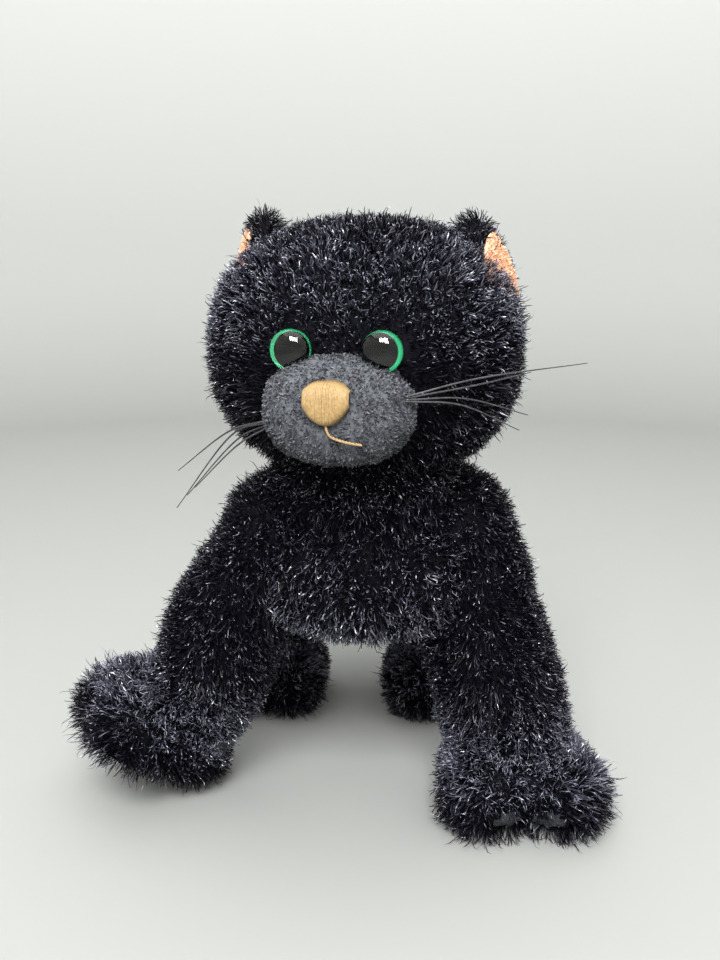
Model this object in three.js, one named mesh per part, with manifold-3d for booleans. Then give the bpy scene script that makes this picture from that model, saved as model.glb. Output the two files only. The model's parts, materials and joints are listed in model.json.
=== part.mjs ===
// A stuffed plush cat that stands on four splayed legs, facing -Y, with its head turned.
// Covers are thin shells, stuffing and pellets fill them, and each limb turns on a ball at its seam.
// "left" and "right" are the cat's own, so the left side is +X. Millimetres, +Z up, floor at z = 0.
import * as THREE from "three";
import { mergeVertices } from "three/addons/utils/BufferGeometryUtils.js";
import Module from "manifold-3d";

const wasm = await Module();
wasm.setup();

const WALL = 3.5;            // plush cloth with its pile pressed flat
const GAP = 0.35;            // air between pieces that touch on the real toy
const SEAM = 0.4;            // width of the slit between two sewn panels
const SOLE = 2.2;            // thickness of a paw's sole pad
const FULLNESS = 2.25;       // 2 is an ellipsoid, more is squarer
const LIMB_GAP = 0.4;        // running clearance of a ball in its socket
const FACET_DEPTH = 0.955;   // how deep a ball's facets lie, as a share of its radius

const NECK = new THREE.Vector3(2, -8, 137);
const NECK_BALL = 23.5;
const HEAD_TURN = -13;       // degrees about Z, towards the cat's right
const HEAD = { at: [0, -1.5, 170.5], half: [50, 37, 40.5] };
const MUZZLE = { at: [0, -36, 155.5], half: [22.3, 17, 16] };
const EYE = { across: 13.5, height: 173, front: -37.2, radius: 6.1 };
const LIMB_RADIUS = 21;
const BIG = 400;

const material = (color, roughness) => new THREE.MeshStandardMaterial({ color, roughness, metalness: 0 });
const BLACK_PLUSH = material(0x111114, 0.8);
const GREY_FLEECE = material(0x4a4d54, 0.95);
const PEACH_FLEECE = material(0xe2ab80, 0.95);
const TAN_THREAD = material(0xe4b878, 0.6);
const BRISTLE = material(0x15151a, 0.4);
const CLEAR = material(0xdfe8e6, 0.05);
const GREEN = material(0x1f9c5c, 0.3);
const PUPIL = material(0x050505, 0.1);
const HARD_PLASTIC = material(0xe8e8e4, 0.5);
const FIBREFILL = material(0xf4f4f0, 1);
const PELLETS = material(0xd8dade, 0.6);

// ---------- solids: a three.js geometry as a manifold, and back ----------

function solid(geometry) {
  const shape = geometry.clone();
  shape.deleteAttribute("normal");
  shape.deleteAttribute("uv");
  const merged = mergeVertices(shape, 1e-3);
  return new wasm.Manifold(new wasm.Mesh({
    numProp: 3,
    vertProperties: new Float32Array(merged.attributes.position.array),
    triVerts: new Uint32Array(merged.index.array),
  }));
}

function geometryOf(body) {
  const mesh = body.getMesh();
  const geometry = new THREE.BufferGeometry();
  geometry.setAttribute("position", new THREE.BufferAttribute(mesh.vertProperties, 3));
  geometry.setIndex(new THREE.BufferAttribute(mesh.triVerts, 1));
  geometry.computeVertexNormals();
  return geometry;
}

const place = (geometry, matrix) => geometry.clone().applyMatrix4(matrix);
const moved = (x, y, z) => new THREE.Matrix4().makeTranslation(x, y, z);

function box(low, high) {
  const size = high.map((value, i) => value - low[i]);
  const middle = high.map((value, i) => (value + low[i]) / 2);
  return new THREE.BoxGeometry(...size).translate(...middle);
}

function ball(at, radius) {
  return new THREE.SphereGeometry(radius, 14, 8).translate(...at);
}

// Room for a ball to turn in: its flat facets stay outside the ball's corners.
function socket(at, radius) {
  return ball(at, (radius + LIMB_GAP) / FACET_DEPTH);
}

// A rounded block: a sphere pushed out towards its corners.
function pillow({ at, half }, inset = 0, around = 14, down = 9) {
  const geometry = new THREE.SphereGeometry(1, around, down);
  const position = geometry.attributes.position;
  for (let i = 0; i < position.count; i += 1) {
    const p = [position.getX(i), position.getY(i), position.getZ(i)];
    const sum = p.reduce((total, value) => total + Math.abs(value) ** FULLNESS, 0);
    const reach = sum ** (-1 / FULLNESS);
    position.setXYZ(i, ...p.map((value, axis) => at[axis] + value * reach * (half[axis] - inset)));
  }
  return geometry;
}

// A closed skin round a smooth centre line. Each station is [x, y, z, half width, half depth].
// The width lies across `side`, and blunt says how square the two ends are.
function loft(stations, { side = [1, 0, 0], inset = 0, around = 8, rings = 5, blunt = 5 } = {}) {
  const path = new THREE.CatmullRomCurve3(stations.map(([x, y, z]) => new THREE.Vector3(x, y, z)));
  const size = new THREE.CatmullRomCurve3(stations.map(([, , , w, d]) => new THREE.Vector3(w, d, 0)));
  const reach = path.getLength() / 2;
  const points = [path.getPoint(0).addScaledVector(path.getTangent(0), inset)];
  for (let ring = 1; ring < rings; ring += 1) {
    const along = -Math.cos((Math.PI * ring) / rings) * (1 - inset / reach);
    const t = (1 + along) / 2;
    const round = (1 - Math.abs(Math.cos((Math.PI * ring) / rings)) ** blunt) ** (1 / blunt);
    const centre = path.getPoint(t);
    const tangent = path.getTangent(t);
    const across = new THREE.Vector3(...side);
    const wide = across.clone().addScaledVector(tangent, -tangent.dot(across));
    const deep = new THREE.Vector3().crossVectors(tangent, wide.normalize());
    const half = size.getPoint(t);
    for (let i = 0; i < around; i += 1) {
      const angle = (2 * Math.PI * i) / around;
      points.push(centre.clone()
        .addScaledVector(wide, Math.cos(angle) * (half.x - inset) * round)
        .addScaledVector(deep, Math.sin(angle) * (half.y - inset) * round));
    }
  }
  points.push(path.getPoint(1).addScaledVector(path.getTangent(1), -inset));
  const faces = [];
  const last = points.length - 1;
  for (let i = 0; i < around; i += 1) {
    const next = (i + 1) % around;
    faces.push(0, 1 + next, 1 + i, last, last - around + i, last - around + next);
    for (let ring = 0; ring < rings - 2; ring += 1) {
      const a = 1 + ring * around;
      faces.push(a + i, a + next, a + around + next, a + i, a + around + next, a + around + i);
    }
  }
  const geometry = new THREE.BufferGeometry().setFromPoints(points);
  geometry.setIndex(faces);
  return geometry;
}

// A round bar through the given points: a bristle or a thread.
function strand(points, radius, steps = 5) {
  const section = new THREE.Shape().absarc(0, 0, radius, 0, 2 * Math.PI, false);
  const path = new THREE.CatmullRomCurve3(points.map((point) => new THREE.Vector3(...point)));
  const options = { steps, curveSegments: 4, bevelEnabled: false, extrudePath: path };
  return new THREE.ExtrudeGeometry(section, options);
}

const union = (...geometries) => geometries.map(solid).reduce((all, one) => all.add(one));

function without(body, ...geometries) {
  return geometries.map(solid).reduce((rest, one) => rest.subtract(one), body);
}

// Everything on one side of a plane across X: to its left (+X) or its right (-X).
const leftOf = (x) => solid(box([x, -BIG, -BIG], [BIG, BIG, BIG]));
const rightOf = (x) => solid(box([-BIG, -BIG, -BIG], [x, BIG, BIG]));

const object = new THREE.Group();
const head = new THREE.Group();
head.position.set(NECK.x, NECK.y, 0);
head.rotation.z = THREE.MathUtils.degToRad(HEAD_TURN);
object.add(head);

function add(parent, name, body, look) {
  const mesh = new THREE.Mesh(body.isBufferGeometry ? body : geometryOf(body), look);
  mesh.name = name;
  parent.add(mesh);
}

// ---------- legs: a ball at the seam, a limb, and a paw with a flat sole ----------

const LEGS = [
  { name: "front_left", hip: [33, 0, 102], knee: [44, -2, 70], ankle: [52, 2, 34],
    paw: [58, -3, 0], half: [28, 28, 17], toesOut: 0, toesUp: 0, swing: 24 },
  { name: "front_right", hip: [-29, 0, 102], knee: [-47, 1, 72], ankle: [-60, 8, 38],
    paw: [-83.5, 8, 12], half: [25, 29, 17], toesOut: -62, toesUp: 34, swing: 24 },
  { name: "hind_left", hip: [34, 86, 86], knee: [37, 88, 60], ankle: [36, 92, 28],
    paw: [37, 86, 0], half: [25, 27, 16], toesOut: 6, toesUp: 0, swing: 20 },
  { name: "hind_right", hip: [-30, 86, 86], knee: [-36, 88, 60], ankle: [-40, 94, 28],
    paw: [-41, 90, 0], half: [25, 27, 16], toesOut: -10, toesUp: 0, swing: 20 },
];
const PAW_CENTRE_HEIGHT = 13;
const PELLET_DEPTH = 11;
const SWING_MARGIN = 8;      // degrees of room beyond a leg's own swing
const FAN_GAP = 2.5;         // room round a leg where it leaves the torso

function pawFrame(leg) {
  const turn = new THREE.Matrix4().makeRotationZ(THREE.MathUtils.degToRad(leg.toesOut));
  const lift = new THREE.Matrix4().makeRotationX(-THREE.MathUtils.degToRad(leg.toesUp));
  return moved(...leg.paw).multiply(turn).multiply(lift);
}

// Everything between two heights over the sole, in the paw's own frame.
function pawSlab(leg, low, high = BIG) {
  return solid(place(box([-BIG, -BIG, low], [BIG, BIG, high]), pawFrame(leg)));
}

function limbStations(leg) {
  const spread = (point, radius) => [...point, radius, radius];
  const foot = [leg.paw[0], leg.paw[1] + 4, leg.paw[2] + PAW_CENTRE_HEIGHT];
  return [spread(leg.hip, LIMB_RADIUS), spread(leg.knee, LIMB_RADIUS), spread(leg.ankle, LIMB_RADIUS - 1),
    spread(foot, LIMB_RADIUS - 5)];
}

function legBody(leg, inset) {
  const paw = pillow({ at: [0, 0, PAW_CENTRE_HEIGHT], half: leg.half }, inset, 9, 6);
  const limb = loft(limbStations(leg), { inset, rings: 4, blunt: 4 });
  const whole = union(ball(leg.hip, LIMB_RADIUS + 1 - inset), limb, place(paw, pawFrame(leg)));
  return whole.subtract(solid(box([-BIG, -BIG, -BIG], [BIG, BIG, 0])));
}

// One side of the plane through the leg, from its hip to its ankle: 1 is the outer side, -1 the inner.
function halfOf(leg, which) {
  const towards = Math.sign(leg.hip[0]) * which;
  const lean = Math.atan2(leg.ankle[0] - leg.hip[0], leg.hip[2] - leg.ankle[2]);
  const half = box([towards > 0 ? SEAM / 2 : -BIG, -BIG, -BIG], [towards > 0 ? BIG : -SEAM / 2, BIG, BIG]);
  return solid(place(half, moved(...leg.hip).multiply(new THREE.Matrix4().makeRotationY(-lean))));
}

// What a torso piece gives up so that the leg can swing: its ball, and a fan below the ball.
function swingRoom(leg) {
  const fan = (t) => {
    const at = leg.hip.map((value, axis) => value + (leg.ankle[axis] - value) * t);
    const drop = Math.hypot(leg.ankle[0] - leg.hip[0], leg.ankle[2] - leg.hip[2]) * t;
    const depth = LIMB_RADIUS + drop * Math.tan(THREE.MathUtils.degToRad(leg.swing + SWING_MARGIN));
    return [at[0], leg.hip[1], at[2], LIMB_RADIUS + FAN_GAP, depth + FAN_GAP];
  };
  return [
    socket(leg.hip, LIMB_RADIUS + FAN_GAP),
    loft([fan(0), fan(0.5), fan(1)], { rings: 4, blunt: 12 }),
  ];
}

function buildLeg(leg) {
  const outside = legBody(leg, 0);
  const cover = outside.intersect(pawSlab(leg, SOLE + GAP)).subtract(legBody(leg, WALL));
  const core = legBody(leg, WALL + GAP);
  const pelletTop = SOLE + GAP + PELLET_DEPTH;
  add(object, `${leg.name}_leg_outer_panel`, cover.intersect(halfOf(leg, 1)), BLACK_PLUSH);
  add(object, `${leg.name}_leg_inner_panel`, cover.intersect(halfOf(leg, -1)), BLACK_PLUSH);
  add(object, `${leg.name}_leg_stuffing`, core.intersect(pawSlab(leg, pelletTop + GAP)), FIBREFILL);
  add(object, `${leg.name}_paw_pellets`, core.intersect(pawSlab(leg, SOLE + 2 * GAP, pelletTop)), PELLETS);
  add(object, `${leg.name}_paw_sole`, outside.intersect(pawSlab(leg, -1, SOLE)), GREY_FLEECE);
}

// The thread that pulls a front paw in between two toes, over the rim of the paw.
function buildToeStitch(leg) {
  const proud = 1.3;
  const points = [];
  for (let degrees = -8; degrees <= 32; degrees += 10) {
    const angle = THREE.MathUtils.degToRad(degrees);
    const reach = (Math.cos(angle) ** FULLNESS + Math.abs(Math.sin(angle)) ** FULLNESS) ** (-1 / FULLNESS);
    points.push([0, -(leg.half[1] * reach + proud) * Math.cos(angle),
      PAW_CENTRE_HEIGHT + (leg.half[2] * reach + proud) * Math.sin(angle)]);
  }
  add(object, `${leg.name}_toe_stitch`, place(strand(points, 0.5), pawFrame(leg)), BRISTLE);
}

// ---------- torso: two side panels, a gusset from chest to belly, and its fill ----------

const TORSO = [
  [2, -27, 94, 22, 16], [2, -16, 95, 33, 24], [2, 12, 97, 36, 27], [2, 48, 95, 35, 27],
  [2, 82, 92, 37, 29], [2, 104, 91, 31, 25], [2, 116, 91, 22, 18],
];
const TAIL = [[2, 115, 92], [10, 132, 84], [28, 144, 79], [47, 146, 79], [62, 141, 81]];
const TAIL_RADII = [9.5, 9.5, 9.5, 9, 7.5];
const TAIL_BALL = 10.5;
const GUSSET_HALF = 21;
const GUSSET_TOP = 84;
const CHEST_BACK = -9;
const PELLET_BAG = { at: [2, 66, 72], half: [9, 30, 12] };

function bellyBox(margin) {
  const half = GUSSET_HALF + margin;
  return box([NECK.x - half, CHEST_BACK - 1, -BIG], [NECK.x + half, BIG, GUSSET_TOP + margin]);
}

function buildTorso() {
  const skin = (inset) => solid(loft(TORSO, { inset, around: 12, rings: 7, blunt: 3.2 }));
  const rooms = [socket(NECK.toArray(), NECK_BALL), socket(TAIL[0], TAIL_BALL), ...LEGS.flatMap(swingRoom)];
  const shell = without(skin(0).subtract(skin(WALL)), ...rooms);
  const chest = box([-BIG, -BIG, -BIG], [BIG, CHEST_BACK, BIG]);
  const belly = bellyBox(0);
  const wideChest = box([-BIG, -BIG, -BIG], [BIG, CHEST_BACK + SEAM, BIG]);
  const wideBelly = bellyBox(SEAM);
  const sides = without(shell, wideChest, wideBelly);
  add(object, "torso_left_panel", sides.intersect(leftOf(NECK.x + SEAM / 2)), BLACK_PLUSH);
  add(object, "torso_right_panel", sides.intersect(rightOf(NECK.x - SEAM / 2)), BLACK_PLUSH);
  add(object, "chest_belly_panel", shell.intersect(union(chest, belly)), BLACK_PLUSH);
  const core = without(skin(WALL + GAP), ...rooms);
  add(object, "torso_stuffing", without(core, pillow(PELLET_BAG, -GAP, 12, 8)), FIBREFILL);
  add(object, "belly_pellet_bag", core.intersect(solid(pillow(PELLET_BAG, 0, 12, 8))), PELLETS);
  add(object, "neck_stuffing", ball(NECK.toArray(), NECK_BALL), FIBREFILL);
}

// ---------- tail: a ball in the rump, and a tube that curls round to the cat's left ----------

const TAIL_WALL = 2.5;

function buildTail() {
  const stations = TAIL.map((point, i) => [...point, TAIL_RADII[i], TAIL_RADII[i]]);
  const body = (inset) => union(
    ball(TAIL[0], TAIL_BALL - inset),
    loft(stations, { side: [0, 0, 1], inset, rings: 7, blunt: 3 }),
  );
  const root = box([-BIG, -BIG, -BIG], [BIG, TAIL[0][1] - TAIL_BALL / 2, BIG]);
  add(object, "tail_cover", without(body(0).subtract(body(TAIL_WALL)), root), BLACK_PLUSH);
  add(object, "tail_stuffing", without(body(TAIL_WALL + GAP), root), FIBREFILL);
}

// ---------- head: everything here is in the head's own frame, before it is turned ----------

const NECK_IN_HEAD = [0, 0, NECK.z];
const GUSSET = 21;
const EYE_POCKET = 8;

// How far forward the front of a pillow reaches at a place on its face.
function frontOf({ at, half }, x, z) {
  const rest = 1 - Math.abs((x - at[0]) / half[0]) ** FULLNESS - Math.abs((z - at[2]) / half[2]) ** FULLNESS;
  return at[1] - half[1] * Math.max(rest, 0) ** (1 / FULLNESS);
}

function eyeRod(side, radius, front, back) {
  return new THREE.CylinderGeometry(radius, radius, back - front, 12)
    .translate(side * EYE.across, (front + back) / 2, EYE.height);
}

function buildHead() {
  const sides = [-1, 1];
  const neckRoom = socket(NECK_IN_HEAD, NECK_BALL);
  const shankHoles = sides.map((side) => eyeRod(side, 2.6, -60, 0));
  const seats = sides.map((side) => eyeRod(side, EYE.radius + GAP, -60, EYE.front + GAP));
  const skin = solid(pillow(HEAD)).subtract(solid(pillow(HEAD, WALL)));
  const shell = without(skin, neckRoom, ...shankHoles, ...seats);
  const middle = leftOf(-GUSSET).intersect(rightOf(GUSSET));
  add(head, "head_centre_gusset", shell.intersect(middle), BLACK_PLUSH);
  add(head, "head_left_panel", shell.intersect(leftOf(GUSSET + SEAM)), BLACK_PLUSH);
  add(head, "head_right_panel", shell.intersect(rightOf(-GUSSET - SEAM)), BLACK_PLUSH);
  const pockets = sides.map((side) => eyeRod(side, EYE_POCKET, -60, EYE.front + 16));
  add(head, "head_stuffing", without(solid(pillow(HEAD, WALL + GAP)), neckRoom, ...pockets), FIBREFILL);
  buildMuzzle();
  for (const side of sides) {
    buildEye(side);
    buildEar(side);
    buildWhiskers(side);
  }
}

function buildMuzzle() {
  const clear = pillow(HEAD, -1.2);
  const eyeRoom = [-1, 1].map((side) => eyeRod(side, EYE.radius + 0.5, EYE.front - 8, EYE.front + 1));
  const outside = without(solid(pillow(MUZZLE)), clear, ...eyeRoom);
  add(head, "muzzle_cover", outside.subtract(solid(pillow(MUZZLE, 2))), GREY_FLEECE);
  add(head, "muzzle_stuffing", without(solid(pillow(MUZZLE, 2 + GAP)), clear, ...eyeRoom), FIBREFILL);
  const nose = { at: [0, frontOf(MUZZLE, 0, 161.8) + 1, 161.8], half: [6.9, 3.6, 6.5] };
  add(head, "nose_embroidery", without(solid(pillow(nose, 0, 10, 8)), pillow(MUZZLE, -GAP)), TAN_THREAD);
  const smile = [[0.8, 153.4], [1.6, 151.2], [3.4, 149.2], [6.2, 147.7], [9.4, 146.9]];
  const points = smile.map(([x, z]) => [x, frontOf(MUZZLE, x, z) - 1.1, z]);
  add(head, "mouth_stitch", strand(points, 0.5), TAN_THREAD);
}

function buildEye(side) {
  const name = side > 0 ? "left" : "right";
  const facesOfEye = [
    ["iris", GREEN, [[0, 0.9], [EYE.radius - 0.4, 0.9], [EYE.radius - 0.4, 1.5], [0, 1.5]]],
    ["pupil", PUPIL, [[0, 1.8], [4.2, 1.8], [4.2, 2.2], [0, 2.2]]],
  ];
  const dome = [[0, 2.5]];
  for (let degrees = 0; degrees <= 90; degrees += 18) {
    const angle = THREE.MathUtils.degToRad(degrees);
    dome.push([EYE.radius * Math.cos(angle), 2.5 + 3.4 * Math.sin(angle)]);
  }
  const shank = [[0, -13], [1.8, -13], [1.8, -0.8], [EYE.radius - 1, -0.8], [EYE.radius - 1, 0.3], [0, 0.3]];
  const washer = [[2.2, -8.4], [6, -8.4], [6, -7.2], [2.2, -7.2], [2.2, -8.4]];
  const turned = (profile) => new THREE.LatheGeometry(profile.map(([r, y]) => new THREE.Vector2(r, y)), 12)
    .rotateX(Math.PI).translate(side * EYE.across, EYE.front - 1, EYE.height);
  for (const [piece, look, profile] of facesOfEye) {
    add(head, `${name}_${piece}`, turned(profile), look);
  }
  add(head, `${name}_eye_dome`, turned(dome), CLEAR);
  add(head, `${name}_eye_shank`, turned(shank), HARD_PLASTIC);
  add(head, `${name}_eye_washer`, turned(washer), HARD_PLASTIC);
}

const EAR = { across: 40.5, back: 1, middle: 198.5, width: 15.5, height: 16.5, lean: 14, forward: 12 };

function earPlate(side, scale, from, thick) {
  const outline = new THREE.Shape();
  const wide = EAR.width * scale;
  const tall = EAR.height * scale;
  outline.moveTo(-wide, -tall);
  outline.quadraticCurveTo(-wide, tall * 0.75, 0, tall);
  outline.quadraticCurveTo(wide, tall * 0.75, wide, -tall);
  const plate = new THREE.ExtrudeGeometry(outline, { depth: thick, bevelEnabled: false, curveSegments: 4 });
  const pose = moved(side * EAR.across, EAR.back, EAR.middle)
    .multiply(new THREE.Matrix4().makeRotationZ(THREE.MathUtils.degToRad(-side * EAR.forward)))
    .multiply(new THREE.Matrix4().makeRotationY(THREE.MathUtils.degToRad(-side * EAR.lean)))
    .multiply(new THREE.Matrix4().makeRotationY(Math.PI / 2 * side))
    .multiply(new THREE.Matrix4().makeRotationZ(Math.PI / 2 * side))
    .multiply(moved(0, 0, from));
  return place(plate, pose);
}

function buildEar(side) {
  const name = side > 0 ? "left" : "right";
  const clear = pillow(HEAD, -1.2);
  add(head, `${name}_ear_back`, without(solid(earPlate(side, 1, -5, 5)), clear), BLACK_PLUSH);
  add(head, `${name}_ear_lining`, without(solid(earPlate(side, 0.88, GAP, 3)), clear), PEACH_FLEECE);
}

// Each bristle as three points: at the muzzle, half way, and at its tip.
const LEFT_WHISKERS = [
  [[23.5, -40.5, 162.4], [41, -32, 166], [70.8, -12, 168.4]],
  [[23.8, -39, 161.2], [39, -32.5, 163.6], [54.5, -19, 166.4]],
  [[24, -39.5, 158.9], [37, -33, 158.3], [53.2, -20, 153.3]],
  [[23.6, -40.5, 157.2], [36, -34, 156], [51, -23, 148.1]],
];
const RIGHT_WHISKERS = [
  [[-23.6, -39, 152.4], [-36, -34.5, 147], [-55, -30, 133]],
  [[-23.4, -38, 151.2], [-36, -33, 145.2], [-57, -28, 120]],
  [[-23, -37.2, 150], [-35, -31, 143.5], [-54, -26, 124]],
  [[-22.4, -38.6, 149], [-33.6, -34, 142.5], [-49, -31, 128]],
];

function buildWhiskers(side) {
  const rows = side > 0 ? LEFT_WHISKERS : RIGHT_WHISKERS;
  rows.forEach((points, i) => {
    add(head, `${side > 0 ? "left" : "right"}_whisker_${i + 1}`, strand(points, 0.35, 4), BRISTLE);
  });
}

buildTorso();
LEGS.forEach(buildLeg);
LEGS.slice(0, 2).forEach(buildToeStitch);
buildTail();
buildHead();

// The origin is the middle of the floor under the whole object.
const extent = new THREE.Box3().setFromObject(object);
const middle = extent.getCenter(new THREE.Vector3());
object.position.set(-middle.x, -middle.y, -extent.min.z);

export default object;
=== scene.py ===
"""A black long-pile plush cat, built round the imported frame.

Every pile fibre is a real, curled, tapered blade of mesh that grows from a stuffed skin.
Points are written in the design's own millimetres (the cat faces -Y, the floor is z = 0) and
`world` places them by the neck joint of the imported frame."""
import json
import math
import bmesh
import bpy
import numpy as np
from mathutils import Matrix, Vector, kdtree
from mathutils.bvhtree import BVHTree

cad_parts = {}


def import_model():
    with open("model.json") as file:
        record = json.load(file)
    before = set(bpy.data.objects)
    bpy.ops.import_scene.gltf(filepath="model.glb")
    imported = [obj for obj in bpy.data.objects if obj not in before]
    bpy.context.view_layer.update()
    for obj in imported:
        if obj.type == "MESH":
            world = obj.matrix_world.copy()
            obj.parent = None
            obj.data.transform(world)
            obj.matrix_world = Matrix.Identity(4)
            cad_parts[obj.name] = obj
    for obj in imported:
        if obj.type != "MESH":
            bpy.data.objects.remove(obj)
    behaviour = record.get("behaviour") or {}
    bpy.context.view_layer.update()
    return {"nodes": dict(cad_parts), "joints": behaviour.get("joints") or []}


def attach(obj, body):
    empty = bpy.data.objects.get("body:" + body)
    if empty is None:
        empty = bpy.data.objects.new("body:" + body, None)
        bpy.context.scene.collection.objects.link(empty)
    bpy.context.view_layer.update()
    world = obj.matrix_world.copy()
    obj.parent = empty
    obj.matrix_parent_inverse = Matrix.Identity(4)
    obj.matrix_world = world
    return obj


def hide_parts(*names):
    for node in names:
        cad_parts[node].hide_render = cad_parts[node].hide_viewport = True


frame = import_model()

MM = 0.001
NECK = (2.0, -8.0, 137.0)
HEAD_TURN = math.radians(-13)
JOINTS = {joint["name"]: joint for joint in frame["joints"]}
ORIGIN = np.array(JOINTS["head_turn"]["pos_m"]) - np.array(NECK) * MM

FULLNESS = 2.25
PILE = 6.2            # length of a body fibre
PILE_WIDTH = 0.30
PER_MM2 = 1.80        # fibres for each square millimetre of skin
LENGTH_SPREAD = (0.72, 1.12)
GUARD_LENGTH = 1.5    # a guard fibre against the rest
ROOT_DEPTH = 0.4      # how far below the skin a fibre starts
BLADE_PARTS = (0.46, 0.38, 0.20)   # root, middle and tip as shares of its length
BLADE_TAPER = 0.9     # the blade's width where its tip starts
LEAST_RISE = 0.15     # a fibre that lies flatter than this is lifted
FLOOR_GAP = 0.3


def world(points):
    """Design millimetres to scene metres."""
    return np.asarray(points, dtype=float) * MM + ORIGIN


def turned(points):
    """From the head's own frame, facing -Y, to the design frame."""
    points = np.asarray(points, dtype=float)
    c, s = math.cos(HEAD_TURN), math.sin(HEAD_TURN)
    out = points.copy()
    out[..., 0] = points[..., 0] * c - points[..., 1] * s + NECK[0]
    out[..., 1] = points[..., 0] * s + points[..., 1] * c + NECK[1]
    return out


# ---------------------------------------------------------------- meshes

def mesh_object(name, verts, faces, material=None):
    """A smooth-shaded piece whose faces all look outward."""
    mesh = bpy.data.meshes.new(name)
    mesh.from_pydata([tuple(v) for v in verts], [], [tuple(f) for f in faces])
    bm = bmesh.new()
    bm.from_mesh(mesh)
    bmesh.ops.remove_doubles(bm, verts=bm.verts, dist=1e-6)
    bmesh.ops.recalc_face_normals(bm, faces=bm.faces)
    bm.to_mesh(mesh)
    bm.free()
    mesh.update()
    mesh.shade_smooth()
    if material:
        mesh.materials.append(material)
    obj = bpy.data.objects.new(name, mesh)
    bpy.context.scene.collection.objects.link(obj)
    return obj


def sphere_mesh(centre, half, fullness=2.0, detail=3):
    """A rounded block as vertices and faces."""
    bm = bmesh.new()
    bmesh.ops.create_icosphere(bm, subdivisions=detail, radius=1)
    p = np.array([v.co for v in bm.verts])
    faces = [[v.index for v in f.verts] for f in bm.faces]
    bm.free()
    reach = (np.abs(p) ** fullness).sum(axis=1) ** (-1 / fullness)
    return p * reach[:, None] * np.array(half) + np.array(centre), faces


def joined(parts):
    verts, faces, start = [], [], 0
    for v, f in parts:
        verts.append(np.asarray(v))
        faces += [[i + start for i in face] for face in f]
        start += len(v)
    return np.vstack(verts), faces


def spline(points, count):
    """Evenly spread points of a Catmull-Rom curve through the given rows."""
    p = np.asarray(points, dtype=float)
    p = np.vstack([2 * p[0] - p[1], p, 2 * p[-1] - p[-2]])
    spans = len(p) - 3
    out = []
    for t in np.linspace(0, spans - 1e-9, count):
        i = int(t)
        u = t - i
        a, b, c, d = p[i:i + 4]
        out.append(0.5 * (2 * b + (c - a) * u + (2 * a - 5 * b + 4 * c - d) * u * u
                          + (3 * b - a - 3 * c + d) * u ** 3))
    return np.array(out)


def beads(rows, count=14, detail=2):
    """A limb as a chain of spheres; each row is x, y, z, radius."""
    return [sphere_mesh(r[:3], (r[3],) * 3, detail=detail) for r in spline(rows, count)]


def evaluated(obj):
    """Applies an object's modifiers to its mesh."""
    graph = bpy.context.evaluated_depsgraph_get()
    mesh = bpy.data.meshes.new_from_object(obj.evaluated_get(graph), depsgraph=graph)
    old = obj.data
    obj.modifiers.clear()
    obj.data = mesh
    bpy.data.meshes.remove(old)
    return obj


def positions(mesh):
    co = np.empty(len(mesh.vertices) * 3)
    mesh.vertices.foreach_get("co", co)
    return co.reshape(-1, 3)


def soft_skin(name, parts, material, voxel=3.0, smooth=8):
    """One smooth closed skin round all the parts."""
    verts, faces = joined(parts)
    obj = mesh_object(name, world(verts), faces)
    remesh = obj.modifiers.new("remesh", "REMESH")
    remesh.mode = "VOXEL"
    remesh.voxel_size = voxel * MM
    relax = obj.modifiers.new("relax", "SMOOTH")
    relax.iterations = smooth
    relax.factor = 0.5
    evaluated(obj)
    obj.data.materials.clear()
    obj.data.materials.append(material)
    obj.data.shade_smooth()
    return obj


# ---------------------------------------------------------------- materials

def principled(name, color, roughness, **sockets):
    material = bpy.data.materials.new(name)
    material.use_nodes = True
    shader = material.node_tree.nodes["Principled BSDF"]
    shader.inputs["Base Color"].default_value = (*color, 1)
    shader.inputs["Roughness"].default_value = roughness
    for socket, value in sockets.items():
        shader.inputs[socket.replace("_", " ")].default_value = value
    return material


def speckled(name, dark, light, scale, roughness, bump=0.3, distance=0.0004, **sockets):
    """Cloth or thread: two tones of noise, with a bump at the same grain."""
    material = principled(name, dark, roughness, **sockets)
    nodes, links = material.node_tree.nodes, material.node_tree.links
    shader = nodes["Principled BSDF"]
    coords = nodes.new("ShaderNodeTexCoord")
    noise = nodes.new("ShaderNodeTexNoise")
    noise.inputs["Scale"].default_value = scale
    noise.inputs["Detail"].default_value = 4
    noise.inputs["Roughness"].default_value = 0.65
    ramp = nodes.new("ShaderNodeValToRGB")
    ramp.color_ramp.elements[0].position = 0.35
    ramp.color_ramp.elements[0].color = (*dark, 1)
    ramp.color_ramp.elements[1].position = 0.68
    ramp.color_ramp.elements[1].color = (*light, 1)
    grain = nodes.new("ShaderNodeBump")
    grain.inputs["Strength"].default_value = bump
    grain.inputs["Distance"].default_value = distance
    links.new(coords.outputs["Object"], noise.inputs["Vector"])
    links.new(noise.outputs["Fac"], ramp.inputs["Fac"])
    links.new(ramp.outputs["Color"], shader.inputs["Base Color"])
    links.new(noise.outputs["Fac"], grain.inputs["Height"])
    links.new(grain.outputs["Normal"], shader.inputs["Normal"])
    return material


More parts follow.
